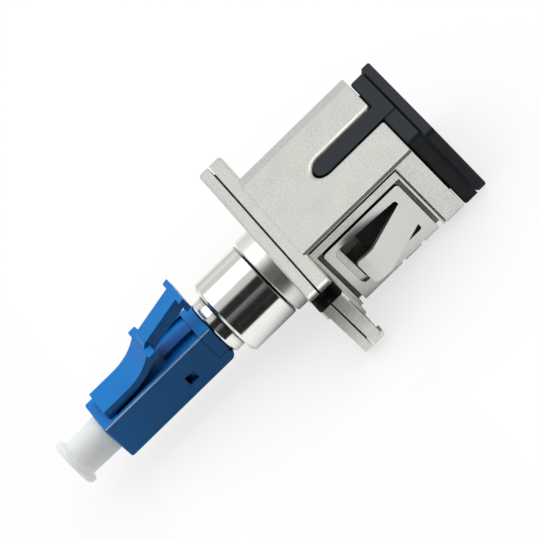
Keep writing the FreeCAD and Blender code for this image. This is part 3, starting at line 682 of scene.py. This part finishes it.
@dataclass
class FerruleTrain(SubAssembly):
    """Both ferrules with the sleeve, flange, spring and lead that go with them."""

    fibre_mm: float = 0.125
    dome_mm: float = 0.004
    rings: int = 4
    sides: int = 32
    steel: RolledStainless = field(default_factory=RolledStainless)

    def finishes(self) -> dict[str, Finish]:
        """Give the ceramics their polish, the small turned parts their steel and the lead its coating."""
        return {"alignment_sleeve": POLISHED_ZIRCONIA, "sc_ferrule": POLISHED_ZIRCONIA,
                "lc_ferrule": POLISHED_ZIRCONIA, "lc_ferrule_flange": self.steel, "lc_spring": self.steel,
                "fibre_lead": BUFFER_COATING}

    def fibre_end(self, name: str, face_y: float, facing: Facing, body: Body) -> bpy.types.Object:
        """Build the polished end of the fibre in the middle of a ferrule's face.

        Args:
            name: the piece's name.
            face_y: where the ferrule's face is along the optical axis, in metres.
            facing: which way the face looks.
            body: the body that carries the ferrule.

        Returns:
            A small domed disc, flush with the ceramic at its rim.
        """
        mesh = bpy.data.meshes.new(name)
        form = bmesh.new()
        radius = self.fibre_mm * MM / 2
        dome = facing.value * self.dome_mm * MM
        angles = [math.tau * side / self.sides for side in range(self.sides)]
        loops = []
        for ring in range(self.rings, 0, -1):
            share = ring / self.rings
            reach, height = radius * share, face_y + dome * (1 - share * share)
            loops.append([form.verts.new((reach * math.cos(angle), height, reach * math.sin(angle)))
                          for angle in angles])
        tip = form.verts.new((0.0, face_y + dome, 0.0))
        for side in range(self.sides):
            after = (side + 1) % self.sides
            for outer, inner in zip(loops, loops[1:]):
                form.faces.new((outer[side], outer[after], inner[after], inner[side]))
            form.faces.new((loops[-1][side], loops[-1][after], tip))
        bmesh.ops.recalc_face_normals(form, faces=form.faces[:])
        form.to_mesh(mesh)
        form.free()
        mesh.materials.append(FIBRE_GLASS.material())
        piece = bpy.data.objects.new(name, mesh)
        bpy.context.scene.collection.objects.link(piece)
        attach(piece, body.value)
        return piece

    def spring(self) -> bpy.types.Object:
        """Stand a coil of the same shape in for the solid spring, on the adapter's body.

        Returns:
            The coil.
        """
        coil = bpy.data.objects.new("lc_spring_coil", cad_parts["lc_spring"].data.copy())
        bpy.context.scene.collection.objects.link(coil)
        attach(coil, Body.ADAPTER.value)
        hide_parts("lc_spring")
        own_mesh(coil)
        return coil

    def build(self) -> list[bpy.types.Object]:
        """Build the spring's coil and the fibre's end on each ferrule.

        Returns:
            The coil and the two fibre ends.
        """
        jack_face, plug_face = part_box("sc_ferrule")[1].y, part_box("lc_ferrule")[0].y
        return [self.spring(),
                self.fibre_end("sc_fibre_end", jack_face, Facing.JACK, Body.ADAPTER),
                self.fibre_end("lc_fibre_end", plug_face, Facing.PLUG, Body.FLOATING_FERRULE)]


@dataclass
class LatchedPlug(SubAssembly):
    """The blue plug body with its latch arm and rear collar."""

    moulding: NonMetal = BLUE_PBT

    def finishes(self) -> dict[str, Finish]:
        """Give all three mouldings the same blue."""
        return {"lc_housing": self.moulding, "lc_latch": self.moulding, "lc_rear_collar": self.moulding}


@dataclass
class PullOffCaps(SubAssembly):
    """The white cap on the small ferrule and the black cap in the jack."""

    ferrule_cap: NonMetal = WHITE_POLYETHYLENE
    jack_cap: NonMetal = BLACK_POLYETHYLENE

    def finishes(self) -> dict[str, Finish]:
        """Give each cap its polyethylene."""
        return {"lc_dust_cap": self.ferrule_cap, "sc_dust_cap": self.jack_cap}


@dataclass
class Studio:
    """A white sweep under an overhead softbox.

    The room is pale on one side and dark on the lens's side, with a dim window in it. A black card lies on
    the dark side, and a white card under the pale cap.
    """

    floor_size: float = 4.0
    floor_gap_mm: float = 0.05
    aim_mm: tuple[float, float, float] = (-0.03, -3.48, 0.22)
    lens_distance_mm: float = 377.9
    lens_azimuth_deg: float = 3.307
    lens_elevation_deg: float = 40.336
    lens_roll_deg: float = -46.41
    field_deg: float = 6.917
    clip: Span = (0.01, 20.0)
    softbox_size: Span = (0.42, 1.4)
    softbox_place: tuple[float, float, float] = (-0.13, 0.0, 0.55)
    softbox_watts: float = 2.35
    black_card_mm: tuple[float, float, float, float] = (16.6, -1900.0, 1900.0, 1.5)
    black_card_lift_mm: float = 0.0
    white_card_mm: tuple[float, float, float, float] = (-40.0, -70.0, 40.0, -23.5)
    white_card_lift_mm: float = 0.02
    walls: Span = (0.68, 0.022)
    walls_span: Span = (-0.3, 0.5)
    window: float = 0.2
    sill_span: Span = (0.28, 0.54)
    head_span: Span = (0.58, 0.54)
    ceiling: float = 0.65
    ceiling_span: Span = (0.84, 0.9)
    lens_sky: float = 1.0

    def sheet(self, name: str, sides: tuple[float, ...], level: float, finish: Finish) -> bpy.types.Object:
        """Lay a flat sheet in the studio.

        Args:
            name: the sheet's name.
            sides: its least x and y and its greatest x and y, in metres.
            level: its height, in metres.
            finish: what it is made of.

        Returns:
            The sheet.
        """
        left, back, right, front = sides
        mesh = bpy.data.meshes.new(name)
        mesh.from_pydata([(left, back, level), (right, back, level), (right, front, level),
                          (left, front, level)], [], [(0, 1, 2, 3)])
        mesh.materials.append(finish.material())
        laid = bpy.data.objects.new(name, mesh)
        bpy.context.scene.collection.objects.link(laid)
        return laid

    def floor(self) -> None:
        """Lay the white sweep just under the part's lowest point."""
        half = self.floor_size / 2
        self.sheet("sweep", (-half, -half, half, half), CAD_BOX[0].z - self.floor_gap_mm * MM, WhiteSweep())

    def card(self, name: str, sides_mm: tuple[float, ...], lift_mm: float, finish: Finish) -> None:
        """Lay a card on the sweep, out of the lens's sight.

        Args:
            name: the card's name.
            sides_mm: its least x and y and its greatest x and y.
            lift_mm: how far it lies above the part's lowest point.
            finish: what it is made of.
        """
        sides = tuple(side * MM for side in sides_mm)
        card = self.sheet(name, sides, CAD_BOX[0].z + lift_mm * MM, finish)
        card.visible_camera = False
        card.visible_shadow = False

    def softbox(self) -> None:
        """Hang the softbox so that it looks at the part, with its long side along the part."""
        light = bpy.data.lights.new("softbox", "AREA")
        light.shape = "RECTANGLE"
        light.size, light.size_y = self.softbox_size
        light.energy = self.softbox_watts
        lamp = bpy.data.objects.new("softbox", light)
        lamp.location = self.softbox_place
        lamp.rotation_euler = Vector(self.softbox_place).to_track_quat("Z", "X").to_euler()
        lamp.visible_camera = False
        bpy.context.scene.collection.objects.link(lamp)

    def room(self) -> None:
        """Give the world a pale and a dark side, a dim window and a light ceiling, all white to the lens."""
        world = bpy.data.worlds.new("studio_room")
        world.use_nodes = True
        tree = world.node_tree
        tree.nodes.clear()
        way = add_node(tree, "SeparateXYZ", {0: add_node(tree, "TexCoord").outputs["Generated"]}).outputs
        side = ramp(tree, way["X"], self.walls_span, self.walls, "SMOOTHSTEP")
        overhead = ramp(tree, way["Z"], self.ceiling_span, curve="SMOOTHSTEP")
        sill = ramp(tree, way["Z"], self.sill_span, (0.0, self.window))
        pane = calc(tree, "MULTIPLY", sill, ramp(tree, way["Z"], self.head_span))
        glow = between(tree, overhead, calc(tree, "ADD", side, pane), self.ceiling)
        lens = add_node(tree, "LightPath").outputs["Is Camera Ray"]
        sky = add_node(tree, "Background", {"Color": (1, 1, 1, 1),
                                            "Strength": between(tree, lens, glow, self.lens_sky)}).outputs[0]
        add_node(tree, "OutputWorld", {"Surface": sky})
        bpy.context.scene.world = world

    def lens(self) -> None:
        """Set up the camera at the photograph's angle, rolled so that the part runs corner to corner."""
        azimuth = math.radians(self.lens_azimuth_deg)
        elevation = math.radians(self.lens_elevation_deg)
        back = Vector((math.cos(elevation) * math.cos(azimuth), math.cos(elevation) * math.sin(azimuth),
                       math.sin(elevation)))
        level = Vector((-math.sin(azimuth), math.cos(azimuth), 0.0))
        right = Matrix.Rotation(math.radians(self.lens_roll_deg), 3, back) @ level
        up = back.cross(right)
        camera = bpy.data.cameras.new("lens")
        camera.angle = math.radians(self.field_deg)
        camera.clip_start, camera.clip_end = self.clip
        holder = bpy.data.objects.new("lens", camera)
        facing = Matrix((right, up, back)).transposed().to_4x4()
        place = (Vector(self.aim_mm) + back * self.lens_distance_mm) * MM
        holder.matrix_world = Matrix.Translation(place) @ facing
        bpy.context.scene.collection.objects.link(holder)
        bpy.context.scene.camera = holder

    def make(self) -> None:
        """Set up the floor, the cards, the softbox, the room and the lens."""
        self.floor()
        self.card("black_card", self.black_card_mm, self.black_card_lift_mm, BLACK_CARD)
        self.card("white_card", self.white_card_mm, self.white_card_lift_mm, WHITE_CARD)
        self.softbox()
        self.room()
        self.lens()
        bpy.context.scene.view_settings.view_transform = "Standard"
        LOG.info("studio set up")


def main() -> None:
    """Dress every sub-assembly in order, then set up the studio."""
    logging.basicConfig(level=logging.INFO, format="%(name)s: %(message)s")
    for group in (JackShell(), PanelClip(), TurnedStem(), FerruleTrain(), LatchedPlug(), PullOffCaps()):
        group.make()
    Studio().make()


if __name__ == "__main__":
    main()
